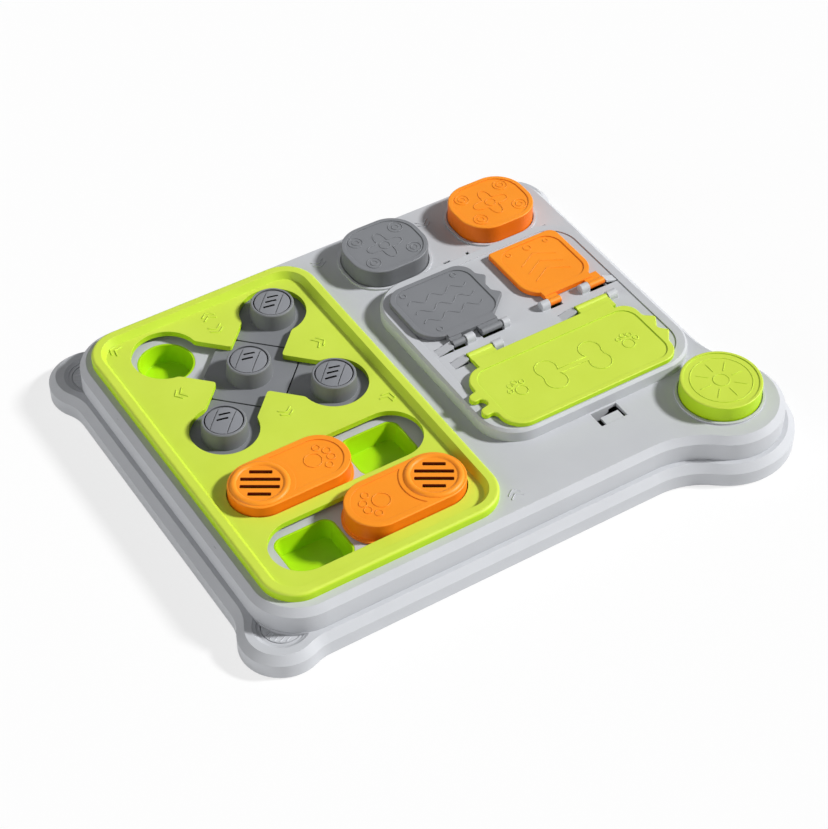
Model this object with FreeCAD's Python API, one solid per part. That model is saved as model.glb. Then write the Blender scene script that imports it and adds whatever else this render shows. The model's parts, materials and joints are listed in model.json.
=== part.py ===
import FreeCAD, Part
import math
import os

from FreeCAD import Vector

# Dog puzzle feeder: a two-tier tray. The left half has four knobs that slide in an X
# and two long sliders over treat wells. The right half has three hinged flaps and
# three lift-off caps over more wells. All sizes are in millimetres, +Z is up, and +X
# runs along the long side. The pieces are drawn about the middle of the square body,
# then moved so that the origin is on the ground under the middle of the whole outline.

# Heights
FOOT_DROP = 1.0
BASE_Z = FOOT_DROP
BASE_WALL = 9.5
BASE_BEVEL = 4.5
BOARD_WALL = 12.5
BOARD_BEVEL = 4.0
LEDGE_Z = BASE_Z + BASE_WALL + BASE_BEVEL
BOARD_Z = LEDGE_Z + BOARD_WALL + BOARD_BEVEL
RIM_Z = BOARD_Z + 6.0
FLOOR_Z = BOARD_Z + 1.5
FLOOR_UNDER = FLOOR_Z - 3.7
DECK_Z = BOARD_Z - 5.5
DECK_THICK = 2.5
PLATFORM_Z = BOARD_Z + 9.0
FLAP_Z = PLATFORM_Z + 3.6
CAP_Z = BOARD_Z + 13.5
ROUND_CAP_Z = BOARD_Z + 11.5
KNOB_Z = DECK_Z + 14.6
PILL_Z = DECK_Z + 14.3

# Clearances
GAP = 0.3
SEAT = 0.1
PIN_R = 1.2
PIN_CLEAR = 0.06

# Footprint of the two tiers: half sides, then each corner as a plain round or a lobe
HALF_X = 175.0
HALF_Y = 140.0
UPPER_INSET = 7.5
SMALL_LOBE = (157.5, 119.0, 24.8, 25.0)
CAP_LOBE = (149.0, 118.0, 44.5, 50.0)
UPPER_CORNER_R = 39.5
SHIFT_X = (SMALL_LOBE[0] + SMALL_LOBE[2] - CAP_LOBE[0] - CAP_LOBE[2]) / 2
SHIFT_Y = (CAP_LOBE[1] + CAP_LOBE[2] - SMALL_LOBE[1] - SMALL_LOBE[2]) / 2
WALL = 3.2
PLATE = 2.6
LOBE_DISH_AT = (156.4, 117.8)
LOBE_DISH_R = 16.6
LOBE_DISH_STEP_R = 14.2
LOBE_DISH_DEPTH = 1.9
LOBE_GROOVE = (11.5, 12.1, 0.7)

# Green tray
TRAY = (-159.5, -6.0, -123.5, 123.5)
TRAY_R = 22.0
TRAY_RIM = 6.0
TRAY_FLOOR_INSET = 8.8
SKIRT_WALL = 2.0
TRAY_TONGUE_INSET = 2.2
DECK_LIP = (1.5, 2.0)

# Sliding knobs on an X pattern
PATTERN = (-80.0, 53.5)
PITCH = 37.5
X_HOLE_R = 21.0
X_ARM_HALF = 16.0
PLATE_HALF = 26.0
PLATE_FLAT = 29.2
GUIDE_HALF = 26.5
GUIDE_LEG = 27.0
GUIDE_THICK = 1.8
KNOB_BASE_R = 14.35
KNOB_TOP_R = 13.4
KNOB_RING_R = 11.9
DISC_R = 11.1
DISC_DROP = 2.6
KNOB_SEAT_R = 11.2
KNOB_GROOVE_DROP = 4.2
KNOB_POCKET_R = 9.0
KNOB_POCKET_DROP = 7.0
BANDS = (-5.8, 4.8)
DISC_SLOT = (7.2, 1.4)
DISC_SLOT_FIRST = (2.6, 4.1)
DISC_SLOT_STEP = (-3.15, -3.4)
DISC_SLOT_TURN = -13.5
ROUND_WELL_R = 16.5
WELL_DEPTH = 13.0
WELL_WALL = 1.2

# Long sliders
SLOT_X = (-144.3, -17.7)
SLOT_HALF = 19.7
BACK_SLOT_Y = -39.8
FRONT_SLOT_Y = -87.2
PILL_LENGTH = 76.5
PILL_HALF = 19.0
PILL_FOOT = 1.4
PILL_END_GAP = 0.6
PILL_SHELL = 2.0
GRILLE_R = 17.6
GRILLE_SEAT_R = 14.2
GRILLE_DISC_R = 13.5
GRILLE_SLOT_W = 2.6
GRILLE_SLOT_PITCH = 5.8
GRILLE_SLOTS = (13.5, 23.0, 23.0, 13.5)
GRILLE_TURN = -32.2
PAW_FIELD_INSET = 4.0
PAW_FIELD_GAP = 20.5
SLOT_WELL = (37.0, 31.0, 6.0)
SLOT_WELL_X = (-117.2, -45.0)

# Raised platform with three flaps
PLATFORM = (9.2, 158.0, -86.2, 65.8)
PLATFORM_R = 26.0
PLATFORM_RIM = 7.0
PLATFORM_RECESS = 0.6
POCKET_WALL = 1.5
POCKET_FLOOR_Z = 16.0
GRAY_POCKET = (24.0, 70.0, 12.0, 50.0)
ORANGE_POCKET = (103.0, 139.0, 12.0, 50.0)
GREEN_POCKET = (32.0, 136.0, -76.0, -30.0)
HINGE_Z = PLATFORM_Z + 1.5
BARREL_R = 2.3
BRACKET_R = 3.0
TONGUE_LENGTH = 10.0
TONGUE_HALF = 2.7
TONGUE_THICK = 1.5
TONGUE_RISE = 3.0
TONGUE_SLIT = 0.8
FRONT_HINGE_Y = -2.4
GREEN_HINGE_Y = -16.4
FLAP_RIM = 3.3
FLAP_FIELD_DEPTH = 0.6
FLAP_EDGE_R = 0.8

# Outlines of the flaps as (x, y, round), counterclockwise from the back left corner. The
# gray and green ones have swept finger grips on the right, the green one two bumps on the left.
FLAP_FIELD_R = 14.0
GRAY_OUTLINE = ((16.0, 56.8, 13.0), (16.0, 4.6, 17.0), (64.0, 4.6, 12.0), (81.6, 20.4, 1.8), (76.8, 25.5, 2.5),
                (76.8, 32.0, 3.0), (81.6, 38.8, 1.8), (76.8, 43.8, 3.0), (76.8, 56.8, 11.0))
GRAY_FIELD = (16.0, 76.8, 4.6, 56.8)
ORANGE_OUTLINE = ((93.0, 54.2, 2.0), (93.0, 4.2, 16.0), (142.9, 4.2, 14.0), (142.9, 54.2, 6.0))
ORANGE_FIELD = (93.0, 142.9, 4.2, 54.2)
GREEN_OUTLINE = ((19.2, -29.0, 13.0), (18.4, -45.2, 1.6), (11.6, -46.6, 3.6), (12.2, -53.0, 3.0),
                 (20.3, -51.9, 3.3), (18.9, -58.4, 1.8), (11.4, -60.0, 3.6), (12.0, -66.0, 2.6),
                 (19.6, -65.2, 3.0), (19.2, -84.0, 14.7), (142.2, -84.0, 12.0), (142.2, -70.5, 3.0),
                 (148.4, -62.6, 1.8), (143.0, -57.2, 2.5), (148.6, -48.4, 1.8), (142.2, -43.6, 3.0),
                 (142.2, -29.0, 10.0))
GREEN_FIELD = (20.0, 142.2, -84.0, -29.0)

# Caps
CAP_SIZE = (53.6, 46.5, 19.5)
CAP_SHELL = 1.8
CAP_RIM = 3.0
ROUND_CAP_RIM = 2.0
GRAY_CAP_AT = (42.6, 96.0)
ORANGE_CAP_AT = (123.0, 96.0)
ROUND_CAP_AT = (148.6, -114.0)
ROUND_CAP_R = 24.9
COLLAR_GAP = 0.8
COLLAR_WIDTH = 1.6
COLLAR_HEIGHT = 1.2
CAP_WELL_MARGIN = CAP_SHELL + 0.5 + WELL_WALL
CAP_WELL_FLOOR_Z = 15.5
CAP_SPIGOT = 3.0

# Windows in the board for the snaps of the lid platform, and the bar across the front one
FRONT_WINDOW = (72.5, 91.2, -99.3, -87.5)
FRONT_BAR = (76.5, 89.2, -100.5, -92.2)
FRONT_BAR_DROP = 1.0
FRONT_APRON = (72.5, 86.0, -87.5, -85.9)
FRONT_APRON_DEPTH = 9.0
SMALL_WINDOWS = ((72.6, 77.4, 70.8, 74.4), (89.9, 92.0, 71.4, 75.4), (147.2, 149.2, 68.0, 71.4))
WINDOW_LIP = 1.0
WINDOW_RELIEF = (2.0, 4.0)

# Fixings
SCREWS = ((-162.0, -60.0), (-162.0, 60.0), (1.0, -105.0), (1.0, 105.0),
          (161.5, -20.0), (161.5, 60.0))
BOSS_R = 4.5
BOARD_BOSS_R = 4.0
SCREW_HEAD = (3.2, 1.7)
SCREW_R = 1.4
SCREW_LENGTH = 20.0
FOOT_R = 8.0


def arc(start, middle, end):
    return Part.Arc(start, middle, end).toShape()


def rounded_wire(corners, z):
    """Closed wire through (x, y, radius) corners, counterclockwise, with tangent arcs."""
    tangents = []
    count = len(corners)
    for i in range(count):
        x, y, radius = corners[i]
        here = Vector(x, y, z)
        back = Vector(corners[i - 1][0], corners[i - 1][1], z).sub(here).normalize()
        following = corners[(i + 1) % count]
        ahead = Vector(following[0], following[1], z).sub(here).normalize()
        if radius <= 0.0:
            tangents.append((here, None, here))
            continue
        half = back.getAngle(ahead) / 2.0
        reach = radius / math.tan(half)
        inward = back.add(ahead).normalize()
        middle = here.add(inward.multiply(radius / math.sin(half) - radius))
        start = here.add(Vector(back).multiply(reach))
        end = here.add(Vector(ahead).multiply(reach))
        tangents.append((start, middle, end))
    edges = []
    for i in range(count):
        start, middle, end = tangents[i]
        if middle is not None:
            edges.append(arc(start, middle, end))
        next_start = tangents[(i + 1) % count][0]
        if end.distanceToPoint(next_start) > 1e-6:
            edges.append(Part.LineSegment(end, next_start).toShape())
    return Part.Wire(edges)


def box_wire(x0, x1, y0, y1, radius, z, inset=0.0):
    x0, x1, y0, y1 = x0 + inset, x1 - inset, y0 + inset, y1 - inset
    radius = max(radius - inset, 0.0)
    return rounded_wire(((x0, y1, radius), (x0, y0, radius), (x1, y0, radius), (x1, y1, radius)), z)


def prism(wire, height):
    return Part.Face(wire).extrude(Vector(0, 0, height))


def block(x0, x1, y0, y1, z0, z1, radius=0.0, inset=0.0):
    return prism(box_wire(x0, x1, y0, y1, radius, z0, inset), z1 - z0)


def disc(x, y, radius, z0, z1):
    return Part.makeCylinder(radius, z1 - z0, Vector(x, y, z0))


def pill(x0, x1, y, half, z0, z1):
    """Upright solid with a stadium outline between x0 and x1."""
    middle = prism(box_wire(x0 + half, x1 - half, y - half, y + half, 0.0, z0), z1 - z0)
    ends = [disc(x0 + half, y, half, z0, z1), disc(x1 - half, y, half, z0, z1)]
    return middle.multiFuse(ends).removeSplitter()


def rod(x0, x1, y, z, radius):
    return Part.makeCylinder(radius, x1 - x0, Vector(x0, y, z), Vector(1, 0, 0))


def turned(shape, x, y, angle):
    shape.rotate(Vector(x, y, 0), Vector(0, 0, 1), angle)
    return shape


def face_edges(solid, z):
    """Edges round the outside of the widest flat face at height z."""
    flat = [f for f in solid.Faces if f.BoundBox.ZMax - z < 1e-6 and z - f.BoundBox.ZMin < 1e-6]
    return max(flat, key=lambda f: f.BoundBox.DiagonalLength).OuterWire.Edges


def lobe_edges(sx, sy, half_x, half_y, lobe, inset, z):
    """Edges round one corner lobe, from the X side to the Y side: blend, lobe, blend."""
    cx, cy, radius, blend = lobe
    half_x, half_y, radius, blend = half_x - inset, half_y - inset, radius - inset, blend + inset
    centre = Vector(sx * cx, sy * cy, z)
    off_y = math.sqrt((radius + blend) ** 2 - (half_x + blend - cx) ** 2)
    off_x = math.sqrt((radius + blend) ** 2 - (half_y + blend - cy) ** 2)
    side_x = Vector(sx * (half_x + blend), sy * (cy - off_y), z)
    side_y = Vector(sx * (cx - off_x), sy * (half_y + blend), z)
    edges = []
    ends = []
    for hub, flat in ((side_x, Vector(-sx, 0, 0)), (side_y, Vector(0, -sy, 0))):
        to_lobe = centre.sub(hub).normalize()
        middle = hub.add(flat.add(to_lobe).normalize().multiply(blend))
        tangent = hub.add(Vector(to_lobe).multiply(blend))
        wall = hub.add(Vector(flat).multiply(blend))
        edges.append(arc(wall, middle, tangent))
        ends.append((wall, tangent))
    outward = Vector(sx, sy, 0).normalize().multiply(radius)
    around = arc(ends[0][1], centre.add(outward), ends[1][1])
    return [edges[0], around, edges[1]], ends[0][0], ends[1][0]


def tier_wire(half_x, half_y, corners, inset, z):
    """Outline of a tier. corners maps (sx, sy) to a lobe, or to a plain corner radius."""
    edges = []
    ends = {}
    for (sx, sy), corner in corners.items():
        if isinstance(corner, tuple):
            pieces, on_x, on_y = lobe_edges(sx, sy, half_x, half_y, corner, inset, z)
        else:
            radius = corner - inset
            hx, hy = half_x - inset, half_y - inset
            on_x = Vector(sx * hx, sy * (hy - radius), z)
            on_y = Vector(sx * (hx - radius), sy * hy, z)
            slack = radius * (1.0 - math.sqrt(0.5))
            pieces = [arc(on_x, Vector(sx * (hx - slack), sy * (hy - slack), z), on_y)]
        edges.extend(pieces)
        ends[(sx, sy)] = (on_x, on_y)
    for s in (-1, 1):
        edges.append(Part.LineSegment(ends[(s, -1)][0], ends[(s, 1)][0]).toShape())
        edges.append(Part.LineSegment(ends[(-1, s)][1], ends[(1, s)][1]).toShape())
    return Part.Wire(Part.__sortEdges__(edges))


SMALL_CORNERS = ((-1, -1), (-1, 1), (1, 1))
BASE_CORNERS = {(1, -1): CAP_LOBE}
BASE_CORNERS.update({corner: SMALL_LOBE for corner in SMALL_CORNERS})
BOARD_CORNERS = {(1, -1): CAP_LOBE}
BOARD_CORNERS.update({corner: UPPER_CORNER_R for corner in SMALL_CORNERS})


def tier(corners, inset, z0, z1, bevel=0.0):
    solid = prism(tier_wire(HALF_X, HALF_Y, corners, inset, z0), z1 - z0)
    if bevel:
        solid = solid.makeChamfer(bevel, face_edges(solid, z1))
    return solid


def knob_places():
    """Name and centre of each of the five stops of the X."""
    x, y = PATTERN
    yield "centre", x, y
    ends = (("back_left", -1, 1), ("back_right", 1, 1), ("front_right", 1, -1), ("front_left", -1, -1))
    for name, sx, sy in ends:
        yield name, x + sx * PITCH, y + sy * PITCH


def lower_base():
    solid = tier(BASE_CORNERS, 0.0, BASE_Z, LEDGE_Z, BASE_BEVEL)
    solid = solid.cut(tier(BASE_CORNERS, WALL, BASE_Z + PLATE, LEDGE_Z - WALL, BASE_BEVEL - 1.0))
    solid = solid.cut(tier(BOARD_CORNERS, UPPER_INSET + WALL, BASE_Z + PLATE, LEDGE_Z + 1.0))
    for sx, sy in SMALL_CORNERS:
        solid = solid.cut(lobe_dish(sx * LOBE_DISH_AT[0], sy * LOBE_DISH_AT[1]))
    for x, y in SCREWS:
        solid = solid.fuse(disc(x, y, BOSS_R, BASE_Z + PLATE - 0.5, LEDGE_Z - SEAT))
    for x, y in SCREWS:
        solid = solid.cut(disc(x, y, SCREW_R + GAP, BASE_Z - 1.0, LEDGE_Z))
        solid = solid.cut(disc(x, y, SCREW_HEAD[0] + 0.4, BASE_Z - 1.0, BASE_Z + 2.0))
    for x, y in foot_places():
        solid = solid.cut(disc(x, y, FOOT_R + SEAT, BASE_Z - 1.0, BASE_Z + 1.5))
    return solid.removeSplitter()


def lobe_dish(x, y):
    """Stepped round dish in the ledge of a small lobe. It stops at the board's wall."""
    slope = Part.makeCone(LOBE_DISH_STEP_R + 0.4, LOBE_DISH_R, 1.2, Vector(x, y, LEDGE_Z - 1.2))
    dish = slope.fuse(disc(x, y, LOBE_DISH_STEP_R, LEDGE_Z - LOBE_DISH_DEPTH, LEDGE_Z - 1.0))
    inner, outer, depth = LOBE_GROOVE
    groove = disc(x, y, outer, LEDGE_Z - LOBE_DISH_DEPTH - depth, LEDGE_Z - 1.0)
    dish = dish.fuse(groove.cut(disc(x, y, inner, BASE_Z, LEDGE_Z)))
    return dish.cut(tier(BOARD_CORNERS, UPPER_INSET - GAP, BASE_Z, LEDGE_Z + 2.0))


def foot_places():
    places = [(sx * SMALL_LOBE[0], sy * SMALL_LOBE[1]) for sx, sy in SMALL_CORNERS]
    return places + [(CAP_LOBE[0], -CAP_LOBE[1])]


def rubber_foot(x, y):
    foot = disc(x, y, FOOT_R, 0.0, BASE_Z + 1.4)
    return foot.makeChamfer(0.4, face_edges(foot, 0.0))


def base_screws():
    screws = []
    head_r, head_height = SCREW_HEAD
    head_low = BASE_Z + 0.2
    head_top = head_low + head_height
    for x, y in SCREWS:
        shank = disc(x, y, SCREW_R, head_top, BASE_Z + SCREW_LENGTH)
        screw = shank.fuse(disc(x, y, head_r, head_low, head_top))
        for angle in (45.0, -45.0):
            slot = block(x - 2.2, x + 2.2, y - 0.4, y + 0.4, BASE_Z - 0.5, BASE_Z + 1.0)
            screw = screw.cut(turned(slot, x, y, angle))
        screws.append(screw)
    return Part.makeCompound(screws)


def cap_outline(centre, grow, z0, z1):
    length, width, radius = CAP_SIZE
    x, y = centre
    return block(x - length / 2, x + length / 2, y - width / 2, y + width / 2, z0, z1, radius, -grow)


def cap_well_hole(centre, grow, z0, z1):
    return cap_outline(centre, grow - CAP_WELL_MARGIN, z0, z1)


def upper_board():
    solid = tier(BOARD_CORNERS, UPPER_INSET, LEDGE_Z, BOARD_Z, BOARD_BEVEL)
    solid = solid.cut(tier(BOARD_CORNERS, UPPER_INSET + WALL, LEDGE_Z - 1.0, BOARD_Z - PLATE))
    low, high = DECK_Z - DECK_THICK - 1.0, BOARD_Z + 1.0
    solid = solid.fuse(block(*TRAY, low, BOARD_Z - 1.0, TRAY_R, TRAY_TONGUE_INSET - SKIRT_WALL))
    solid = solid.cut(block(*TRAY, low - 1.0, high, TRAY_R, TRAY_TONGUE_INSET))
    solid = solid.fuse(deck_lip())
    solid = solid.cut(block(*PLATFORM, low, high, PLATFORM_R, 7.0))
    for centre in (GRAY_CAP_AT, ORANGE_CAP_AT):
        outer = cap_outline(centre, COLLAR_GAP + COLLAR_WIDTH, BOARD_Z - 0.5, BOARD_Z + COLLAR_HEIGHT)
        ring = outer.cut(cap_outline(centre, COLLAR_GAP, BOARD_Z - 1.0, BOARD_Z + 2.0))
        solid = solid.fuse(ring)
        solid = solid.cut(cap_well_hole(centre, WELL_WALL + SEAT, low, high))
    x, y = ROUND_CAP_AT
    ring = disc(x, y, ROUND_CAP_R + COLLAR_GAP + COLLAR_WIDTH, BOARD_Z - 0.5, BOARD_Z + COLLAR_HEIGHT)
    ring = ring.cut(disc(x, y, ROUND_CAP_R + COLLAR_GAP, BOARD_Z - 1.0, BOARD_Z + 2.0))
    solid = solid.fuse(ring)
    solid = solid.cut(disc(x, y, ROUND_CAP_R - CAP_WELL_MARGIN + WELL_WALL + SEAT, low, high))
    for x, y in SCREWS:
        solid = solid.fuse(disc(x, y, BOARD_BOSS_R, LEDGE_Z, BOARD_Z - PLATE + 0.5))
        solid = solid.cut(disc(x, y, SCREW_R + 0.05, LEDGE_Z - 3.0, LEDGE_Z + 8.0))
    return snap_windows(solid).removeSplitter()


def deck_lip():
    """Inward lip at the foot of the tray's skirt, on which the slide deck rests."""
    width, height = DECK_LIP
    top = DECK_Z - DECK_THICK - SEAT
    outer = block(*TRAY, top - height, top, TRAY_R, TRAY_TONGUE_INSET - SKIRT_WALL)
    return outer.cut(block(*TRAY, top - height - 1.0, top + 1.0, TRAY_R, TRAY_TONGUE_INSET + width))


def snap_windows(solid):
    """Windows in the board beside the lid platform, thin at the lip and wider behind it."""
    low, high = BOARD_Z - 4.0, BOARD_Z + 1.0
    for x0, x1, y0, y1 in SMALL_WINDOWS:
        solid = solid.cut(block(x0, x1, y0, y1, low, high))
        wide, deep = WINDOW_RELIEF
        solid = solid.cut(block(x0, x1 + wide, y0, y1 + deep, low, BOARD_Z - WINDOW_LIP))
    solid = solid.cut(block(*FRONT_WINDOW, low, high))
    bar = block(*FRONT_BAR, BOARD_Z - PLATE, BOARD_Z - FRONT_BAR_DROP)
    apron = block(*FRONT_APRON, BOARD_Z - FRONT_APRON_DEPTH, BOARD_Z - 0.5)
    return solid.fuse(bar).fuse(apron)


def slide_deck():
    solid = block(*TRAY, DECK_Z - DECK_THICK, DECK_Z, TRAY_R, TRAY_TONGUE_INSET + SEAT)
    for _, x, y in knob_places():
        solid = solid.cut(disc(x, y, ROUND_WELL_R + WELL_WALL + SEAT, DECK_Z - 5.0, DECK_Z + 1.0))
    for y in (BACK_SLOT_Y, FRONT_SLOT_Y):
        for x in SLOT_WELL_X:
            solid = solid.cut(slot_well_prism(x, y, WELL_WALL + SEAT, DECK_Z - 5.0, DECK_Z + 1.0))
    return solid


def slot_well_prism(x, y, grow, z0, z1):
    length, width, radius = SLOT_WELL
    return block(x - length / 2, x + length / 2, y - width / 2, y + width / 2, z0, z1, radius, -grow)


def round_cup(x, y):
    """Tapered cup that hangs in a deck hole, with a flange under the deck."""
    top, under = DECK_Z - SEAT, DECK_Z - DECK_THICK - SEAT
    floor_z = DECK_Z - WELL_DEPTH
    taper = 1.5
    depth = top - (floor_z - WELL_WALL)
    lower = Part.makeCone(ROUND_WELL_R + WELL_WALL - taper, ROUND_WELL_R + WELL_WALL, depth,
                          Vector(x, y, floor_z - WELL_WALL))
    flange = disc(x, y, ROUND_WELL_R + 4.0, under - 1.5, under)
    inside = Part.makeCone(ROUND_WELL_R - taper, ROUND_WELL_R, WELL_DEPTH, Vector(x, y, floor_z))
    return lower.fuse(flange).cut(inside)


def rect_cup(x0, x1, y0, y1, radius, top, floor_z, flange_top):
    """Tapered rectangular cup with a flange, its wall outside the given opening."""
    taper = 1.5
    wall = WELL_WALL
    outer = Part.makeLoft([box_wire(x0, x1, y0, y1, radius, floor_z - wall, taper - wall),
                           box_wire(x0, x1, y0, y1, radius, top, -wall)], True, True)
    flange = block(x0, x1, y0, y1, flange_top - 1.5, flange_top, radius, -3.0)
    inside = Part.makeLoft([box_wire(x0, x1, y0, y1, radius, floor_z, taper),
                            box_wire(x0, x1, y0, y1, radius, top + 0.01, 0.0)], True, True)
    return outer.fuse(flange).cut(inside)


def slot_cup(x, y):
    length, width, radius = SLOT_WELL
    under = DECK_Z - DECK_THICK - SEAT
    return rect_cup(x - length / 2, x + length / 2, y - width / 2, y + width / 2, radius,
                    DECK_Z - SEAT, DECK_Z - WELL_DEPTH, under)


def x_opening(z0, z1):
    """The X-shaped opening: four round ends and two crossing arms, corners softened."""
    cx, cy = PATTERN
    arms = []
    reach = PITCH * math.sqrt(2.0)
    for angle in (45.0, -45.0):
        arm = block(cx - reach, cx + reach, cy - X_ARM_HALF, cy + X_ARM_HALF, z0, z1)
        arms.append(turned(arm, cx, cy, angle))
    rounds = [disc(x, y, X_HOLE_R, z0, z1) for name, x, y in knob_places() if name != "centre"]
    solid = arms[0].multiFuse(arms[1:] + rounds).removeSplitter()
    upright = [e for e in solid.Edges if e.BoundBox.ZLength > (z1 - z0) * 0.9 and e.BoundBox.XLength < 1e-3]
    tips = [e for e in upright if math.hypot(e.BoundBox.XMin - cx, e.BoundBox.YMin - cy) < X_ARM_HALF * 1.5]
    shoulders = [e for e in upright if 31.0 < math.hypot(e.BoundBox.XMin - cx, e.BoundBox.YMin - cy) < 48.0]
    solid = solid.makeFillet(2.0, tips)
    shoulders = [e for e in solid.Edges if e.BoundBox.ZLength > (z1 - z0) * 0.9 and e.BoundBox.XLength < 1e-3
                 and 31.0 < math.hypot(e.BoundBox.XMin - cx, e.BoundBox.YMin - cy) < 48.0]
    return solid.makeFillet(4.0, shoulders)


def guide_ribs():
    """Four chevrons under the tray floor that keep the sliding plates on the X."""
    cx, cy = PATTERN
    apex = GUIDE_HALF * math.sqrt(2.0)
    ribs = []
    for turn in (0.0, 90.0, 180.0, 270.0):
        for lean in (45.0, -45.0):
            leg = block(0.0, GUIDE_LEG, 0.0, GUIDE_THICK, DECK_Z + GAP, FLOOR_UNDER + 0.2)
            if lean > 0:
                leg.translate(Vector(0, -GUIDE_THICK, 0))
            leg = turned(leg, 0.0, 0.0, lean)
            leg.translate(Vector(cx + apex, cy, 0))
            ribs.append(turned(leg, cx, cy, turn))
    return ribs


def green_tray():
    rim = block(*TRAY, BOARD_Z, RIM_Z, TRAY_R)
    rim = rim.makeFillet(2.0, face_edges(rim, RIM_Z))
    tongue = block(*TRAY, FLOOR_UNDER, BOARD_Z + 0.5, TRAY_R, TRAY_TONGUE_INSET + 0.2)
    bowl = Part.makeLoft([box_wire(*TRAY, TRAY_R, FLOOR_Z, TRAY_FLOOR_INSET),
                          box_wire(*TRAY, TRAY_R, RIM_Z + 0.01, TRAY_RIM)], True, True)
    solid = rim.fuse(tongue).cut(bowl)
    solid = solid.cut(x_opening(FLOOR_UNDER - 1.0, FLOOR_Z + 1.0))
    for y in (BACK_SLOT_Y, FRONT_SLOT_Y):
        solid = solid.cut(pill(SLOT_X[0], SLOT_X[1], y, SLOT_HALF, FLOOR_UNDER - 1.0, FLOOR_Z + 1.0))
    return solid.multiFuse(guide_ribs()).removeSplitter()


def knob_slider(x, y):
    """A round knob on its sliding plate. The top has a ringed seat for the disc."""
    low = DECK_Z + GAP
    plate_top = FLOOR_UNDER - GAP
    plate = block(x - PLATE_HALF, x + PLATE_HALF, y - PLATE_HALF, y + PLATE_HALF, low, plate_top)
    plate = turned(plate, x, y, 45.0)
    plate = plate.common(block(x - PLATE_FLAT, x + PLATE_FLAT, y - PLATE_FLAT, y + PLATE_FLAT, low, plate_top))
    radii_and_heights = ((0.0, plate_top - 0.5), (KNOB_BASE_R, plate_top - 0.5), (KNOB_BASE_R, plate_top + 0.6),
                         (KNOB_TOP_R, KNOB_Z - 0.7), (KNOB_TOP_R - 0.5, KNOB_Z), (KNOB_RING_R, KNOB_Z),
                         (KNOB_RING_R, KNOB_Z - KNOB_GROOVE_DROP), (KNOB_SEAT_R, KNOB_Z - KNOB_GROOVE_DROP),
                         (KNOB_SEAT_R, KNOB_Z - DISC_DROP), (KNOB_POCKET_R, KNOB_Z - DISC_DROP),
                         (KNOB_POCKET_R, KNOB_Z - KNOB_POCKET_DROP), (0.0, KNOB_Z - KNOB_POCKET_DROP))
    profile = [Vector(r, 0, z) for r, z in radii_and_heights]
    knob = Part.Face(Part.makePolygon(profile + profile[:1])).revolve(Vector(0, 0, 0), Vector(0, 0, 1), 360)
    knob.translate(Vector(x, y, 0))
    return plate.fuse(knob)


def knob_disc(x, y, slots):
    """Domed disc in the knob, split in three bands by two grooves, with short slots."""
    low, edge, crown = KNOB_Z - DISC_DROP, KNOB_Z - 0.5, KNOB_Z + 0.5
    flank = Part.makePolygon([Vector(0, 0, crown), Vector(0, 0, low), Vector(DISC_R, 0, low),
                              Vector(DISC_R, 0, edge)])
    sagitta = (crown - edge) * 0.25
    dome = arc(Vector(DISC_R, 0, edge), Vector(DISC_R / 2, 0, crown - sagitta), Vector(0, 0, crown))
    solid = Part.Face(Part.Wire(flank.Edges + [dome])).revolve(Vector(0, 0, 0), Vector(0, 0, 1), 360)
    for side in BANDS:
        groove = block(-DISC_R, DISC_R, -side - 0.2, -side + 0.2, edge - 0.1, crown + 1.0)
        solid = solid.cut(turned(groove, 0.0, 0.0, 45.0))
    length, width = DISC_SLOT
    for i in range(slots):
        slot = block(-length / 2, length / 2, -width / 2, width / 2, low - 1.0, crown + 1.0, 0.4)
        slot = turned(slot, 0.0, 0.0, DISC_SLOT_TURN)
        slot_x = DISC_SLOT_FIRST[0] + i * DISC_SLOT_STEP[0]
        slot_y = DISC_SLOT_FIRST[1] + i * DISC_SLOT_STEP[1]
        slot.translate(Vector(slot_x, slot_y, 0))
        solid = solid.cut(slot)
    solid.translate(Vector(x, y, 0))
    return solid


def pill_slider(x0, y, grille_side):
    """Long slider: a stadium-shaped cover with a foot flange, open underneath."""
    x1 = x0 + PILL_LENGTH
    low = DECK_Z + GAP
    solid = pill(x0, x1, y, PILL_HALF, low, PILL_Z)
    solid = solid.makeFillet(0.9, face_edges(solid, PILL_Z))
    solid = solid.fuse(pill(x0 - PILL_FOOT, x1 + PILL_FOOT, y, PILL_HALF + PILL_FOOT, low, low + 1.6))
    inner_half = PILL_HALF - PILL_SHELL
    solid = solid.cut(pill(x0 + PILL_SHELL, x1 - PILL_SHELL, y, inner_half, low - 1.0, PILL_Z - PILL_SHELL))
    grille_x = pill_ends(x0, grille_side)[0]
    solid = solid.cut(disc(grille_x, y, GRILLE_SEAT_R + SEAT, PILL_Z - 5.0, PILL_Z + 1.0))
    inset = PAW_FIELD_INSET
    field = pill(x0 + inset, x1 - inset, y, PILL_HALF - inset, PILL_Z - 0.5, PILL_Z + 1.0)
    field = field.cut(disc(grille_x, y, PAW_FIELD_GAP, PILL_Z - 1.0, PILL_Z + 2.0))
    return solid.cut(field)


def pill_ends(x0, grille_side):
    near, far = x0 + PILL_HALF, x0 + PILL_LENGTH - PILL_HALF
    return (near, far) if grille_side < 0 else (far, near)


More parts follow.
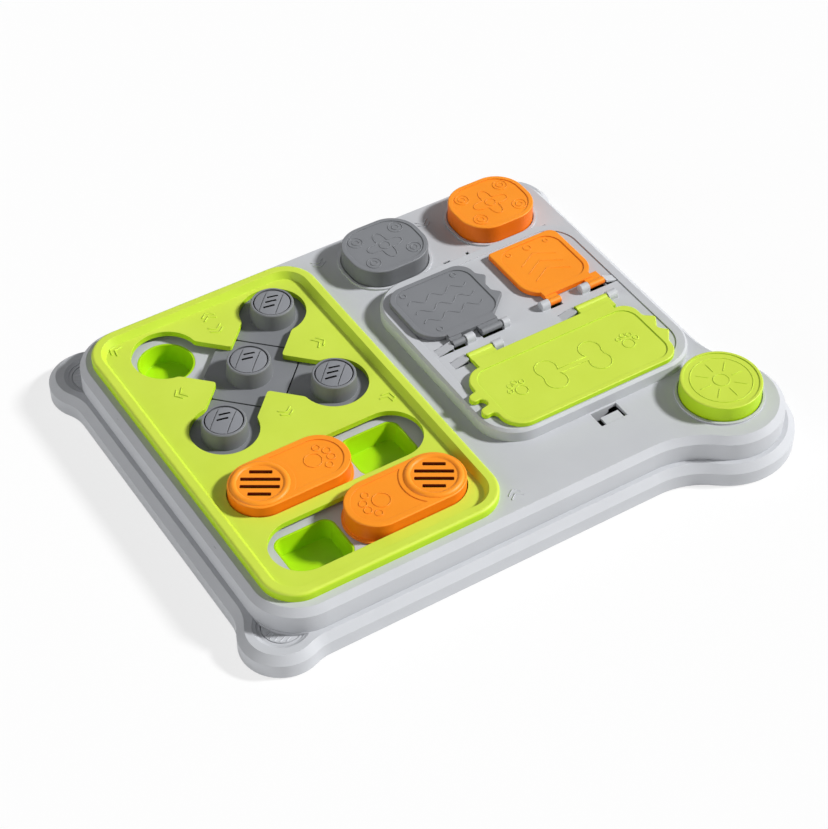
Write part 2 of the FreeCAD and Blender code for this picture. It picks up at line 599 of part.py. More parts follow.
def vent_grille(x, y):
    """Round vent: a rounded ring with a slotted disc inside it and a spigot below."""
    seat, disc_top = PILL_Z, PILL_Z + 0.5
    ring_top = PILL_Z + 1.4
    outline = [Part.LineSegment(Vector(0, 0, disc_top), Vector(0, 0, seat - 1.6)),
               Part.LineSegment(Vector(0, 0, seat - 1.6), Vector(GRILLE_SEAT_R, 0, seat - 1.6)),
               Part.LineSegment(Vector(GRILLE_SEAT_R, 0, seat - 1.6), Vector(GRILLE_SEAT_R, 0, seat)),
               Part.LineSegment(Vector(GRILLE_SEAT_R, 0, seat), Vector(GRILLE_R, 0, seat)),
               Part.Arc(Vector(GRILLE_R, 0, seat), Vector((GRILLE_R + GRILLE_DISC_R) / 2 + 0.3, 0, ring_top),
                        Vector(GRILLE_DISC_R, 0, disc_top)),
               Part.LineSegment(Vector(GRILLE_DISC_R, 0, disc_top), Vector(0, 0, disc_top))]
    solid = Part.Face(Part.Wire([c.toShape() for c in outline])).revolve(Vector(0, 0, 0), Vector(0, 0, 1), 360)
    half_w = GRILLE_SLOT_W / 2
    for i, length in enumerate(GRILLE_SLOTS):
        offset = (i - 1.5) * GRILLE_SLOT_PITCH
        slot = block(-length / 2, length / 2, offset - half_w, offset + half_w, seat - 3.0, disc_top + 1.0, 0.6)
        solid = solid.cut(turned(slot, 0.0, 0.0, GRILLE_TURN))
    solid.translate(Vector(x, y, 0))
    return solid


# Each hinge: its axis, the flap's knuckles, the fixed brackets, the stub pins, and the
# snap tongues as (root, tip).
GRAY_HINGE = {"y": FRONT_HINGE_Y, "knuckles": ((30.2, 38.8), (51.0, 65.6)),
              "brackets": ((39.3, 45.3), (66.1, 70.5)), "pins": ((38.6, 43.0), (65.4, 69.0)),
              "tongues": ((18.5, 29.4),)}
ORANGE_HINGE = {"y": FRONT_HINGE_Y, "knuckles": ((101.0, 109.2), (130.8, 142.0)),
                "brackets": ((94.6, 100.5), (124.4, 130.3)), "pins": ((97.0, 101.2), (126.8, 131.0)),
                "tongues": ((151.0, 142.8),)}
GREEN_HINGE = {"y": GREEN_HINGE_Y, "knuckles": ((32.0, 49.4), (111.4, 134.4)),
               "brackets": ((49.9, 56.5), (134.9, 141.5)), "pins": ((49.2, 53.0), (134.2, 138.0)),
               "tongues": ((21.0, 31.2), (100.0, 110.6))}


def bracket(x0, x1, y):
    """One fixed hinge bracket: a round-topped cheek on the platform."""
    cheek = block(x0, x1, y - BRACKET_R, y + BRACKET_R, PLATFORM_Z - 1.0, HINGE_Z)
    return cheek.fuse(rod(x0, x1, y, HINGE_Z, BRACKET_R))


def snap_tongue(root, tip, y):
    """A springy strip of the platform that rises from its root and blocks a knuckle's end."""
    top = PLATFORM_Z - PLATFORM_RECESS
    back = root - 1.0 if tip > root else root + 1.0
    profile = [Vector(back, y - TONGUE_HALF, top - TONGUE_THICK), Vector(back, y - TONGUE_HALF, top),
               Vector(root, y - TONGUE_HALF, top), Vector(tip, y - TONGUE_HALF, top + TONGUE_RISE),
               Vector(tip, y - TONGUE_HALF, top + TONGUE_RISE - TONGUE_THICK),
               Vector(root, y - TONGUE_HALF, top - TONGUE_THICK)]
    return Part.Face(Part.makePolygon(profile + profile[:1])).extrude(Vector(0, 2 * TONGUE_HALF, 0))


def hinge_seat(solid, hinge):
    """Cut the knuckle slots in the platform, then add the brackets and the tongues."""
    y = hinge["y"]
    low, high = PLATFORM_Z - 4.0, PLATFORM_Z + 1.0
    for x0, x1 in hinge["knuckles"]:
        solid = solid.cut(block(x0 - 0.4, x1 + 0.4, y - 3.4, y + 3.4, low, high))
    for root, tip in hinge["tongues"]:
        half = TONGUE_HALF + TONGUE_SLIT
        solid = solid.cut(block(min(root, tip), max(root, tip) + 0.1, y - half, y + half, low, high))
        solid = solid.fuse(snap_tongue(root, tip, y))
    solid = solid.multiFuse([bracket(x0, x1, y) for x0, x1 in hinge["brackets"]])
    for x0, x1 in hinge["pins"]:
        solid = solid.cut(rod(x0 - 0.3, x1 + 0.3, y, HINGE_Z, PIN_R + PIN_CLEAR))
    return solid


def lid_platform():
    solid = block(*PLATFORM, BOARD_Z, PLATFORM_Z, PLATFORM_R)
    solid = solid.makeChamfer(1.6, face_edges(solid, PLATFORM_Z))
    solid = solid.cut(block(*PLATFORM, BOARD_Z - 1.0, PLATFORM_Z - PLATE, PLATFORM_R, PLATE))
    solid = solid.cut(block(*PLATFORM, PLATFORM_Z - PLATFORM_RECESS, PLATFORM_Z + 1.0, PLATFORM_R, PLATFORM_RIM))
    for pocket in (GRAY_POCKET, ORANGE_POCKET, GREEN_POCKET):
        solid = solid.cut(block(*pocket, PLATFORM_Z - 4.0, PLATFORM_Z + 1.0, 6.0, -WELL_WALL - SEAT))
    for hinge in (GRAY_HINGE, ORANGE_HINGE, GREEN_HINGE):
        solid = hinge_seat(solid, hinge)
    return solid.removeSplitter()


def pocket_cup(pocket):
    x0, x1, y0, y1 = pocket
    top = PLATFORM_Z - PLATFORM_RECESS - SEAT
    return rect_cup(x0, x1, y0, y1, 6.0, top, POCKET_FLOOR_Z, PLATFORM_Z - PLATE - SEAT)


def flap_plate(outline, box, neck, hinge):
    """A flap: plate with a softened top edge and a sunk field, its neck, tabs and pins."""
    low = PLATFORM_Z + GAP
    solid = prism(rounded_wire(outline, low), FLAP_Z - low)
    solid = solid.makeFillet(FLAP_EDGE_R, face_edges(solid, FLAP_Z)).fuse(neck)
    y = hinge["y"]
    inner = neck.BoundBox.Center.y
    for x0, x1 in hinge["knuckles"]:
        solid = solid.fuse(rod(x0, x1, y, HINGE_Z, BARREL_R))
        solid = solid.fuse(block(x0, x1, min(y, inner), max(y, inner), low, FLAP_Z - 0.7))
    for x0, x1 in hinge["pins"]:
        solid = solid.fuse(rod(x0, x1, y, HINGE_Z, PIN_R))
    field = block(*box, FLAP_Z - FLAP_FIELD_DEPTH, FLAP_Z + 1.0, FLAP_FIELD_R, FLAP_RIM)
    return solid.cut(field).removeSplitter()


def gray_flap():
    neck = block(31.0, 65.6, 2.2, 9.0, PLATFORM_Z + GAP, FLAP_Z)
    return flap_plate(GRAY_OUTLINE, GRAY_FIELD, neck, GRAY_HINGE)


def orange_flap():
    neck = block(101.0, 137.0, 2.2, 9.0, PLATFORM_Z + GAP, FLAP_Z)
    return flap_plate(ORANGE_OUTLINE, ORANGE_FIELD, neck, ORANGE_HINGE)


def green_flap():
    neck = block(32.0, 131.0, -31.0, -22.5, PLATFORM_Z + GAP, FLAP_Z)
    return flap_plate(GREEN_OUTLINE, GREEN_FIELD, neck, GREEN_HINGE)


def lift_cap(centre):
    """A rounded-square cap: hollow shell with a recessed top."""
    low = BOARD_Z + GAP
    solid = cap_outline(centre, 0.0, low, CAP_Z)
    solid = solid.makeFillet(0.8, face_edges(solid, CAP_Z))
    solid = solid.cut(cap_outline(centre, -CAP_SHELL, low - 1.0, CAP_Z - 2.4))
    return solid.cut(cap_outline(centre, -CAP_RIM, CAP_Z - 0.5, CAP_Z + 1.0))


def round_cap():
    x, y = ROUND_CAP_AT
    low = BOARD_Z + GAP
    solid = disc(x, y, ROUND_CAP_R, low, ROUND_CAP_Z)
    solid = solid.makeFillet(0.8, face_edges(solid, ROUND_CAP_Z))
    solid = solid.cut(disc(x, y, ROUND_CAP_R - CAP_SHELL, low - 1.0, ROUND_CAP_Z - 2.4))
    return solid.cut(disc(x, y, ROUND_CAP_R - ROUND_CAP_RIM, ROUND_CAP_Z - 0.5, ROUND_CAP_Z + 1.0))


def cap_well(centre):
    """Well under a square cap, with a spigot that locates the cap."""
    x, y = centre
    length, width, radius = CAP_SIZE
    half_l, half_w = length / 2 - CAP_WELL_MARGIN, width / 2 - CAP_WELL_MARGIN
    return rect_cup(x - half_l, x + half_l, y - half_w, y + half_w, radius - CAP_WELL_MARGIN,
                    BOARD_Z + CAP_SPIGOT, CAP_WELL_FLOOR_Z, BOARD_Z - PLATE - SEAT)


def round_cap_well():
    x, y = ROUND_CAP_AT
    radius = ROUND_CAP_R - CAP_WELL_MARGIN
    under = BOARD_Z - PLATE - SEAT
    solid = disc(x, y, radius + WELL_WALL, CAP_WELL_FLOOR_Z - WELL_WALL, BOARD_Z + CAP_SPIGOT)
    solid = solid.fuse(disc(x, y, radius + 4.0, under - 1.5, under))
    return solid.cut(disc(x, y, radius, CAP_WELL_FLOOR_Z, BOARD_Z + 9.0))


def build_nodes():
    nodes = {"lower_base": lower_base(), "upper_board": upper_board(), "slide_deck": slide_deck(),
             "green_tray": green_tray(), "lid_platform": lid_platform(), "base_screws": base_screws()}
    for name, (x, y) in zip(("front_left", "back_left", "back_right", "front_right"), foot_places()):
        nodes["rubber_foot_" + name] = rubber_foot(x, y)
    disc_slots = {"centre": 2, "back_right": 3, "front_right": 3, "front_left": 2}
    for name, x, y in knob_places():
        nodes["round_cup_" + name] = round_cup(x, y)
        if name in disc_slots:
            nodes["knob_slider_" + name] = knob_slider(x, y)
            nodes["knob_disc_" + name] = knob_disc(x, y, disc_slots[name])
    for row, y in (("back", BACK_SLOT_Y), ("front", FRONT_SLOT_Y)):
        for side, x in zip(("left", "right"), SLOT_WELL_X):
            nodes["slot_cup_%s_%s" % (row, side)] = slot_cup(x, y)
    starts = {"back": (SLOT_X[0] + PILL_END_GAP, BACK_SLOT_Y, -1),
              "front": (SLOT_X[1] - PILL_END_GAP - PILL_LENGTH, FRONT_SLOT_Y, 1)}
    for row, (x0, y, side) in starts.items():
        nodes["pill_slider_" + row] = pill_slider(x0, y, side)
        nodes["vent_grille_" + row] = vent_grille(pill_ends(x0, side)[0], y)
    nodes["gray_pocket"] = pocket_cup(GRAY_POCKET)
    nodes["orange_pocket"] = pocket_cup(ORANGE_POCKET)
    nodes["green_pocket"] = pocket_cup(GREEN_POCKET)
    nodes["gray_flap"] = gray_flap()
    nodes["orange_flap"] = orange_flap()
    nodes["green_flap"] = green_flap()
    nodes["gray_cap"] = lift_cap(GRAY_CAP_AT)
    nodes["orange_cap"] = lift_cap(ORANGE_CAP_AT)
    nodes["round_cap"] = round_cap()
    nodes["gray_cap_well"] = cap_well(GRAY_CAP_AT)
    nodes["orange_cap_well"] = cap_well(ORANGE_CAP_AT)
    nodes["round_cap_well"] = round_cap_well()
    return nodes


def main():
    os.makedirs("parts", exist_ok=True)
    for name, shape in build_nodes().items():
        shape.translate(Vector(SHIFT_X, SHIFT_Y, 0))
        shape.exportStep("parts/" + name + ".step")
        print(name, len(shape.Solids), "solid", shape.isValid(), round(shape.Volume / 1000.0, 1), "cm3")


main()
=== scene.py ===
"""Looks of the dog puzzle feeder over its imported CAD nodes: finishes, relief, camera and light.

Sizes are in millimetres about the middle of the square body, as in the CAD source, and at() turns
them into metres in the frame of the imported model.
"""

import json
import math

import bpy
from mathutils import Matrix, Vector


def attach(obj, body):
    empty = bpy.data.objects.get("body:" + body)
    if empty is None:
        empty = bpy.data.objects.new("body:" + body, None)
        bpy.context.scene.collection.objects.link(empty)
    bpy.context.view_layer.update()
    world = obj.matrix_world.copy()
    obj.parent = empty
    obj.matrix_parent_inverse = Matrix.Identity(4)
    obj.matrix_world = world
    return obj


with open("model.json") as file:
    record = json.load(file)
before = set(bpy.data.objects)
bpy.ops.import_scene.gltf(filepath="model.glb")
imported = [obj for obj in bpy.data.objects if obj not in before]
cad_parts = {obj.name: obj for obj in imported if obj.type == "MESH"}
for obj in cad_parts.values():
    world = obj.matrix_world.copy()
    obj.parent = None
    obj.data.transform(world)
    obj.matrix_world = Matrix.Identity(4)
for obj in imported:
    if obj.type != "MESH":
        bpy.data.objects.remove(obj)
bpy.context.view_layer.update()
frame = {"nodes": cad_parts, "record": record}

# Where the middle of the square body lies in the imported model
SHIFT = Vector((-5.6, 9.35, 0.0))

# Heights of the surfaces that carry relief
BOARD_TOP = 31.5
TRAY_FLOOR = 33.0
FLAP_FIELD = 43.5
CAP_FIELD = 44.5
ROUND_CAP_FIELD = 42.5
PILL_FIELD = 39.8
LEDGE_DISH = 13.1

# Raised lines: half their width, which is also how far they stand up
LINE = 0.35
PAW_LINE = 0.4
BOARD_LINE = 0.5
TRAY_LINE = 0.55

# Square caps as (name, slot, x, y): a clover with an eye, and two rings in each corner
SQUARE_CAPS = (("gray_cap", "dark_gray", 42.6, 96.0), ("orange_cap", "orange", 123.0, 96.0))
CLOVER_R = 12.5
CLOVER_EYE_R = 3.4
CLOVER_POINTS = 56
# Mean reach of the clover's outline and its swing, in shares of its size
CLOVER_REACH = (0.72, 0.28)
CORNER_AT = (14.8, 11.4)
CORNER_RINGS = (4.6, 2.2)

# Round cap: two rings, and rays between them as (inner, outer, count)
ROUND_CAP_AT = (148.6, -114.0)
ROUND_CAP_RINGS = (5.0, 19.0)
ROUND_CAP_RAYS = (8.0, 15.5, 8)

# Flaps. A wave is (length, height, periods), a chevron (half width, rise), a ring (x, y, radius),
# a bone (x, y, half length, lobe) and a paw (x, y, size, turn in degrees)
WAVES_AT = ((46.0, 21.0), (46.0, 30.5), (46.0, 40.0))
WAVE = (42.0, 2.4, 3)
WAVE_STEPS = 18
GRAY_FLAP_RINGS = ((27.0, 49.0, 1.8), (64.0, 49.5, 1.8), (30.5, 12.0, 1.8))
CHEVRONS_AT = ((118.0, 17.0), (118.0, 25.0), (118.0, 33.0))
CHEVRON = (13.0, 7.5)
ORANGE_FLAP_RINGS = ((118.0, 46.5, 2.4), (104.0, 46.5, 1.6), (132.0, 46.5, 1.6))
BONE = (81.0, -57.0, 16.0, 7.0)
# How far a bone's lobes lie from its middle line, in shares of a lobe
BONE_LOBE_SPREAD = 0.82
GREEN_FLAP_PAWS = ((42.0, -56.5, 10.5, 20.0), (121.0, -57.5, 10.5, -20.0))
SLIDER_PAWS = (("back", (-86.2, -39.8, 15.0, -90.0)), ("front", (-75.8, -87.2, 15.0, 90.0)))
# Pad and toes of a paw as (x, y, radius), in shares of its size
PAW_SHAPES = ((0.0, -0.22, 0.36), (-0.52, 0.20, 0.15), (-0.19, 0.48, 0.16), (0.19, 0.48, 0.16),
              (0.52, 0.20, 0.15))

# Double arrows as (x, y, turn in degrees): on the tray around the X, and on the board. Each is two
# chevrons of (half width, rise), one a step behind the other.
ARROW = (4.2, 3.2)
ARROW_STEP = 3.4
TRAY_MARKS = ((-78.8, 108.0, 0.0), (-80.0, 94.5, 180.0), (-142.0, 111.0, 45.0),
              (-126.0, 56.0, 90.0), (-79.5, 8.5, 180.0), (-32.0, 51.0, -90.0),
              (-21.7, -11.8, -45.0))
BOARD_MARKS = ((-1.4, -117.0, 0.0), (5.4, 115.6, 180.0), (83.0, 113.4, 180.0))

# Slanting strokes on the floor of each small lobe's dish: (sideways, start, end) along the slant
LOBE_DISH_AT = (156.4, 117.8)
SMALL_LOBES = ((-1, -1), (-1, 1), (1, 1))
DISH_SLANT = 22.0
DISH_STROKES = ((-3.0, 6.9, 10.4), (0.0, 6.3, 10.8), (3.0, 5.3, 10.4), (6.0, 4.1, 9.1),
                (8.6, 2.8, 6.6))

# Camera solved on the photograph
CAMERA_AT = (-511.58, -818.83, 954.1)
CAMERA_AZIMUTH = -32.20
CAMERA_ELEVATION = 44.77
FOCAL_PX = 2208.8
LONG_SIDE_PX = 829
SENSOR_MM = 36.0
CLIP_M = (0.05, 20.0)

# Light as (direction, strength, spread in degrees): a key from the right and a little in front, and
# a low wide fill from the left, in a plain dim room with a white floor
KEY = (Vector((1.2, -0.6, 1.0)), 4.15, 7.0)
FILL = (Vector((-1.0, -0.15, 0.25)), 1.3, 50.0)
ROOM_STRENGTH = 0.15
FLOOR_SIZE_M = 30.0
FLOOR_PAINT = 0.9
FLOOR_ROUGH = 0.9
FLOOR_GLOW = 0.75

# Plastic: mottle between two shades, uneven sheen and a fine grain
SPECULAR = 0.3
MOTTLE_SCALE = 38.0
MOTTLE_SPAN = (0.3, 0.75)
SHEEN_SCALE = 160.0
SHEEN_SPREAD = 0.07
GRAIN_SCALE = 2600.0
GRAIN_HEIGHT_M = 0.0002

# Sharp edges are softened and painted paler, partly as wear and partly as a painted highlight. The
# paling grows as the soft and the real direction of the surface part, from the first of the two
# cosines of the angle between them to the second.
EDGE_M = 0.35 / 1000.0
EDGE_SAMPLES = 6
PALE_EDGE_COSINES = (0.99, 0.8)
PALE_EDGE_SHARE = 0.35
PALE_EDGE_GAIN = 1.25
PALE_EDGE_LIFT = 0.03

# How far up a surface looks where its deeper wall colour, a painted shade, ends and where its paler
# top colour, a painted light, starts
SLOPES = (0.2, 0.7)
STEEP = (0.0, 0.25)


def at(x, y, z):
    return (Vector((x, y, z)) + SHIFT) / 1000.0


def linear(red, green, blue):
    """Scene colour of a colour written as 0 to 255."""
    channels = []
    for value in (red, green, blue):
        share = value / 255.0
        channels.append(share / 12.92 if share <= 0.04045 else ((share + 0.055) / 1.055) ** 2.4)
    return (*channels, 1.0)


def add_node(tree, kind, place, **inputs):
    """New shader node. Inputs are set by socket name, with underscores for spaces."""
    node = tree.nodes.new(kind)
    node.location = place
    for key, value in inputs.items():
        node.inputs[key.replace("_", " ")].default_value = value
    return node


def noise(tree, place, where, scale, detail):
    node = add_node(tree, "ShaderNodeTexNoise", place, Scale=scale, Detail=detail)
    tree.links.new(where, node.inputs["Vector"])
    return node.outputs["Fac"]


def ranged(tree, place, value, **spans):
    node = add_node(tree, "ShaderNodeMapRange", place, **spans)
    tree.links.new(value, node.inputs["Value"])
    return node.outputs["Result"]


def colour_mix(tree, place, factor, first, second):
    """Colour between two others, each a plain colour or the output of a node."""
    node = add_node(tree, "ShaderNodeMix", place)
    node.data_type = "RGBA"
    tree.links.new(factor, node.inputs["Factor"])
    for key, colour in (("A", first), ("B", second)):
        if isinstance(colour, tuple):
            node.inputs[key].default_value = colour
        else:
            tree.links.new(colour, node.inputs[key])
    return node.outputs["Result"]


def rounded_edges(tree):
    """Softened surface direction, and the paling of edges, part wear and part painted highlight: 0
    on faces, up to the set share on sharp edges.
    """
    soft = add_node(tree, "ShaderNodeBevel", (-1100, -420), Radius=EDGE_M)
    soft.samples = EDGE_SAMPLES
    flat = add_node(tree, "ShaderNodeNewGeometry", (-1100, -600))
    match = add_node(tree, "ShaderNodeVectorMath", (-900, -500))
    match.operation = "DOT_PRODUCT"
    tree.links.new(soft.outputs["Normal"], match.inputs[0])
    tree.links.new(flat.outputs["Normal"], match.inputs[1])
    wear_and_highlight = ranged(tree, (-700, -500), match.outputs["Value"], From_Min=PALE_EDGE_COSINES[0],
                  From_Max=PALE_EDGE_COSINES[1], To_Max=PALE_EDGE_SHARE)
    return soft.outputs["Normal"], wear_and_highlight


def moulded_plastic(name, colour, shade, rough, grain=0.08, painted_shade_wall=None, slopes=SLOPES):
    """Moulded plastic with a fine spark texture, uneven sheen and paler edges.

    The edges are paler partly as wear and partly as a painted highlight. The optional wall colour
    is a deeper colour painted on the upright walls as painted shade, with the paler tops as painted
    light; without it the walls keep the colour of the tops.
    """
    material = bpy.data.materials.new(name)
    material.use_nodes = True
    tree = material.node_tree
    shader = tree.nodes["Principled BSDF"]
    shader.inputs["Specular IOR Level"].default_value = SPECULAR
    link = tree.links.new
    points = add_node(tree, "ShaderNodeTexCoord", (-1300, 0))
    place = points.outputs["Object"]

    clouds = noise(tree, (-1100, 260), place, MOTTLE_SCALE, 4.0)
    spread = ranged(tree, (-900, 300), clouds, From_Min=MOTTLE_SPAN[0], From_Max=MOTTLE_SPAN[1])
    body = colour_mix(tree, (-700, 300), spread, colour, shade)
    # Walls are painted the deeper wall colour as painted shade, and the tops keep the paler colour
    # as painted light.
    if painted_shade_wall:
        facing = add_node(tree, "ShaderNodeSeparateXYZ", (-1100, 500))
        link(points.outputs["Normal"], facing.inputs["Vector"])
        level = ranged(tree, (-900, 500), facing.outputs["Z"],
                       From_Min=slopes[0], From_Max=slopes[1])
        body = colour_mix(tree, (-580, 420), level, painted_shade_wall, body)
    normal, wear_and_highlight = rounded_edges(tree)
    # Sharp edges are painted paler, partly as wear and partly as a painted highlight.
    wear_and_highlight_colour = tuple(min(1.0, c * PALE_EDGE_GAIN + PALE_EDGE_LIFT) for c in colour[:3]) + (1.0,)
    link(colour_mix(tree, (-450, 300), wear_and_highlight, body, wear_and_highlight_colour), shader.inputs["Base Color"])

    sheen = noise(tree, (-1100, 0), place, SHEEN_SCALE, 3.0)
    gloss = ranged(tree, (-900, 0), sheen, To_Min=rough - SHEEN_SPREAD, To_Max=rough + SHEEN_SPREAD)
    link(gloss, shader.inputs["Roughness"])

    bump = add_node(tree, "ShaderNodeBump", (-450, -300), Strength=grain, Distance=GRAIN_HEIGHT_M)
    link(noise(tree, (-1100, -200), place, GRAIN_SCALE, 2.0), bump.inputs["Height"])
    link(normal, bump.inputs["Normal"])
    link(bump.outputs["Normal"], shader.inputs["Normal"])
    return material


# Where a finish has a wall colour, its tops are a paler lit copy and its walls a deeper shaded
# copy: painted light and painted shade.
FINISHES = {
    "light_gray_body": moulded_plastic(
        "light_gray_plastic", linear(190, 192, 196), linear(186, 188, 192), 0.5),
    "lime_green": moulded_plastic(
        "lime_plastic", linear(200, 220, 75), linear(195, 215, 68), 0.48,
        painted_shade_wall=linear(178, 215, 24)),
    "orange": moulded_plastic(
        "orange_plastic", linear(247, 148, 32), linear(242, 142, 26), 0.48,
        painted_shade_wall=linear(244, 118, 4)),
    "dark_gray": moulded_plastic(
        "dark_gray_plastic", linear(123, 125, 129), linear(118, 120, 124), 0.5,
        painted_shade_wall=linear(111, 113, 116)),
    "rubber_feet": moulded_plastic(
        "foot_rubber", linear(46, 46, 47), linear(40, 40, 41), 0.75, 0.15),
    "screw_steel": moulded_plastic(
        "screw_plating", linear(168, 168, 166), linear(150, 150, 149), 0.32, 0.03),
}
FINISHES["screw_steel"].node_tree.nodes["Principled BSDF"].inputs["Metallic"].default_value = 1.0
# Finishes of some nodes by a part of their name. The cups are painted a deeper green, a painted
# shade for their depth. The discs are glossier than their knobs. The walls of the slots of the
# discs and vents are painted dark, a painted shade for their depth.
SPECIAL_FINISHES = {
    "_cup_": moulded_plastic(
        "lime_cup_painted_shade", linear(170, 217, 12), linear(164, 211, 9), 0.45),
    "knob_disc_": moulded_plastic(
        "disc_plastic", linear(131, 133, 138), linear(125, 127, 132), 0.36, 0.05,
        painted_shade_wall=linear(30, 30, 32)),
    "vent_grille_": moulded_plastic(
        "grille_plastic", linear(247, 148, 32), linear(242, 142, 26), 0.48,
        painted_shade_wall=linear(158, 60, 22), slopes=STEEP),
}


def finish_nodes():
    for part in frame["record"]["subparts"]:
        finish = FINISHES[part["material_slot"]]
        for words, special in SPECIAL_FINISHES.items():
            if words in part["node"]:
                finish = special
        mesh = frame["nodes"][part["node"]].data
        mesh.materials.clear()
        mesh.materials.append(finish)


def relief(name, body, slot, z, strokes, half_width=LINE):
    """Raised lines on a surface. strokes are (points, closed) in body millimetres."""
    curve = bpy.data.curves.new(name, "CURVE")
    curve.dimensions = "3D"
    curve.bevel_depth = half_width / 1000.0
    curve.bevel_resolution = 2
    curve.use_fill_caps = True
    for points, closed in strokes:
        spline = curve.splines.new("POLY")
        spline.points.add(len(points) - 1)
        for point, (x, y) in zip(spline.points, points):
            point.co = (*at(x, y, z), 1.0)
        spline.use_cyclic_u = closed
    piece = bpy.data.objects.new(name, curve)
    bpy.context.scene.collection.objects.link(piece)
    curve.materials.append(FINISHES[slot])
    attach(piece, body)


def turned(points, cx, cy, turn):
    """Points given about the origin, turned by degrees and moved to (cx, cy)."""
    c, s = math.cos(math.radians(turn)), math.sin(math.radians(turn))
    return [(cx + x * c - y * s, cy + x * s + y * c) for x, y in points]


def circle(cx, cy, radius, start=0.0, end=360.0):
    """Points on an arc, in degrees. The end of a full turn is left out."""
    steps = max(6, int(abs(end - start) / 12.0))
    full = abs(end - start) >= 360.0
    count = steps if full else steps + 1
    turns = [math.radians(start + (end - start) * i / steps) for i in range(count)]
    return [(cx + radius * math.cos(a), cy + radius * math.sin(a)) for a in turns]


def ring(cx, cy, radius):
    return circle(cx, cy, radius), True


def clover(cx, cy, size):
    """Closed outline of a four-leaf clover."""
    points = []
    mean, swing = CLOVER_REACH
    for i in range(CLOVER_POINTS):
        angle = 2.0 * math.pi * i / CLOVER_POINTS
        reach = size * (mean + swing * math.cos(4.0 * angle))
        points.append((cx + reach * math.cos(angle), cy + reach * math.sin(angle)))
    return points, True


def wave(cx, cy, length, height, periods):
    steps = periods * WAVE_STEPS
    shares = [i / steps for i in range(steps + 1)]
    return [(cx + length * (share - 0.5), cy + height * math.sin(2.0 * math.pi * periods * share))
            for share in shares], False


def chevron(cx, cy, half, rise, turn=0.0):
    return turned([(-half, 0.0), (0.0, rise), (half, 0.0)], cx, cy, turn), False


def double_arrow(cx, cy, turn):
    behind = turned([(0.0, -ARROW_STEP)], cx, cy, turn)[0]
    return [chevron(cx, cy, *ARROW, turn), chevron(*behind, *ARROW, turn)]


def bone(cx, cy, half_length, lobe):
    """Closed outline of a plain bone: two round lobes at each end of a shank."""
    high = BONE_LOBE_SPREAD * lobe
    points = circle(cx + half_length, cy + high, lobe, 215.0, -35.0)
    points += circle(cx + half_length, cy - high, lobe, 35.0, -215.0)
    points += circle(cx - half_length, cy - high, lobe, 35.0, -215.0)
    points += circle(cx - half_length, cy + high, lobe, 215.0, -35.0)
    return points, True


def paw(cx, cy, size, turn):
    """A plain paw print: a round pad and four toes."""
    strokes = []
    for x, y, radius in PAW_SHAPES:
        middle = turned([(size * x, size * y)], cx, cy, turn)[0]
        strokes.append(ring(*middle, radius * size))
    return strokes


def rays(cx, cy, inner, outer, count):
    ray = [(inner, 0.0), (outer, 0.0)]
    return [(turned(ray, cx, cy, 360.0 * i / count), False) for i in range(count)]


def cap_relief():
    for name, slot, x, y in SQUARE_CAPS:
        strokes = [clover(x, y, CLOVER_R), ring(x, y, CLOVER_EYE_R)]
        for sx in (-1, 1):
            for sy in (-1, 1):
                corner = (x + sx * CORNER_AT[0], y + sy * CORNER_AT[1])
                strokes += [ring(*corner, radius) for radius in CORNER_RINGS]
        relief(name + "_clover_relief", name + "_body", slot, CAP_FIELD, strokes)
    strokes = [ring(*ROUND_CAP_AT, radius) for radius in ROUND_CAP_RINGS]
    strokes += rays(*ROUND_CAP_AT, *ROUND_CAP_RAYS)
    relief("round_cap_ray_relief", "round_cap_body", "lime_green", ROUND_CAP_FIELD, strokes)


def flap_relief():
    strokes = [wave(*place, *WAVE) for place in WAVES_AT]
    strokes += [ring(*spot) for spot in GRAY_FLAP_RINGS]
    relief("gray_flap_wave_relief", "gray_flap_body", "dark_gray", FLAP_FIELD, strokes)
    strokes = [chevron(*place, *CHEVRON) for place in CHEVRONS_AT]
    strokes += [ring(*spot) for spot in ORANGE_FLAP_RINGS]
    relief("orange_flap_chevron_relief", "orange_flap_body", "orange", FLAP_FIELD, strokes)
    strokes = [bone(*BONE)]
    for print_at in GREEN_FLAP_PAWS:
        strokes += paw(*print_at)
    relief("green_flap_bone_relief", "green_flap_body", "lime_green", FLAP_FIELD, strokes)


def slider_relief():
    for row, print_at in SLIDER_PAWS:
        name = "long_slider_" + row
        relief(name + "_paw_relief", name + "_body", "orange", PILL_FIELD, paw(*print_at), PAW_LINE)


def board_relief():
    """Arrows on the tray and the board, and the strokes in the dishes of the three small lobes."""
    strokes = [stroke for mark in TRAY_MARKS for stroke in double_arrow(*mark)]
    relief("green_tray_arrow_relief", "feeder_body", "lime_green", TRAY_FLOOR, strokes, TRAY_LINE)
    strokes = [stroke for mark in BOARD_MARKS for stroke in double_arrow(*mark)]
    relief("board_arrow_relief", "feeder_body", "light_gray_body", BOARD_TOP, strokes, BOARD_LINE)
    strokes = []
    for sx, sy in SMALL_LOBES:
        for aside, start, end in DISH_STROKES:
            line = turned([(start, aside), (end, aside)], *LOBE_DISH_AT, DISH_SLANT)
            strokes.append(([(sx * x, sy * y) for x, y in line], False))
    relief("lobe_dish_relief", "feeder_body", "light_gray_body", LEDGE_DISH, strokes)


def camera():
    data = bpy.data.cameras.new("photo_camera")
    data.sensor_width = SENSOR_MM
    data.lens = FOCAL_PX * SENSOR_MM / LONG_SIDE_PX
    data.clip_start, data.clip_end = CLIP_M
    eye = bpy.data.objects.new("photo_camera", data)
    eye.location = at(*CAMERA_AT)
    eye.rotation_euler = (math.radians(90.0 - CAMERA_ELEVATION), 0.0, math.radians(CAMERA_AZIMUTH))
    bpy.context.scene.collection.objects.link(eye)
    bpy.context.scene.camera = eye


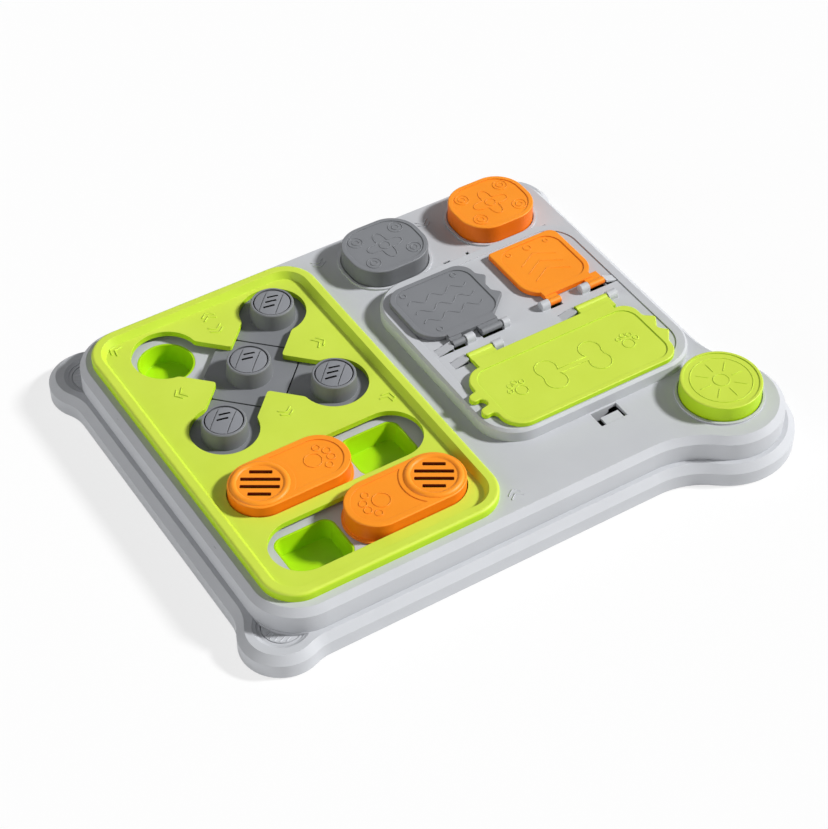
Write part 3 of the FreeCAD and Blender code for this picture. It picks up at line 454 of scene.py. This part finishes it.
def sun(name, direction, strength, spread_deg):
    lamp = bpy.data.lights.new(name, "SUN")
    lamp.energy = strength
    lamp.angle = math.radians(spread_deg)
    light = bpy.data.objects.new(name, lamp)
    light.rotation_mode = "QUATERNION"
    light.rotation_quaternion = direction.to_track_quat("Z", "Y")
    bpy.context.scene.collection.objects.link(light)


def seen_directly(tree):
    """1 where a ray comes from the camera, a mirror or glass, and 0 for light that bounces."""
    path = add_node(tree, "ShaderNodeLightPath", (-900, 0))
    first = add_node(tree, "ShaderNodeMath", (-700, 0))
    first.operation = "MAXIMUM"
    second = add_node(tree, "ShaderNodeMath", (-500, 0))
    second.operation = "MAXIMUM"
    tree.links.new(path.outputs["Is Camera Ray"], first.inputs[0])
    tree.links.new(path.outputs["Is Glossy Ray"], first.inputs[1])
    tree.links.new(first.outputs["Value"], second.inputs[0])
    tree.links.new(path.outputs["Is Transmission Ray"], second.inputs[1])
    return second.outputs["Value"]


def room():
    """Even room, dim for the light that it casts and white where it is seen."""
    world = bpy.data.worlds.new("room")
    bpy.context.scene.world = world
    world.use_nodes = True
    tree = world.node_tree
    back = tree.nodes["Background"]
    back.inputs["Color"].default_value = (1.0, 1.0, 1.0, 1.0)
    level = ranged(tree, (-300, 0), seen_directly(tree), To_Min=ROOM_STRENGTH, To_Max=1.0)
    tree.links.new(level, back.inputs["Strength"])


def floor_material():
    """White floor that keeps the object's shadow, only paler than bare paint would."""
    material = bpy.data.materials.new("floor_white")
    material.use_nodes = True
    tree = material.node_tree
    paint = tree.nodes["Principled BSDF"]
    paint.inputs["Base Color"].default_value = (FLOOR_PAINT, FLOOR_PAINT, FLOOR_PAINT, 1.0)
    paint.inputs["Roughness"].default_value = FLOOR_ROUGH
    paint.inputs["Specular IOR Level"].default_value = 0.0
    glow = add_node(tree, "ShaderNodeEmission", (0, -300), Color=(1.0, 1.0, 1.0, 1.0), Strength=1.0)
    share = add_node(tree, "ShaderNodeMath", (-200, 200))
    share.operation = "MULTIPLY"
    share.inputs[1].default_value = FLOOR_GLOW
    tree.links.new(seen_directly(tree), share.inputs[0])
    blend = add_node(tree, "ShaderNodeMixShader", (300, 0))
    tree.links.new(share.outputs["Value"], blend.inputs["Fac"])
    tree.links.new(paint.outputs["BSDF"], blend.inputs[1])
    tree.links.new(glow.outputs["Emission"], blend.inputs[2])
    tree.links.new(blend.outputs["Shader"], tree.nodes["Material Output"].inputs["Surface"])
    return material


def studio():
    """Plain pale floor, a key light, a low fill and an even room."""
    bpy.context.scene.view_settings.view_transform = "Standard"
    sun("key", *KEY)
    sun("fill", *FILL)
    room()
    bpy.ops.mesh.primitive_plane_add(size=FLOOR_SIZE_M, location=(0.0, 0.0, 0.0))
    floor = bpy.context.object
    floor.name = "floor"
    floor.data.materials.append(floor_material())


finish_nodes()
cap_relief()
flap_relief()
slider_relief()
board_relief()
camera()
studio()
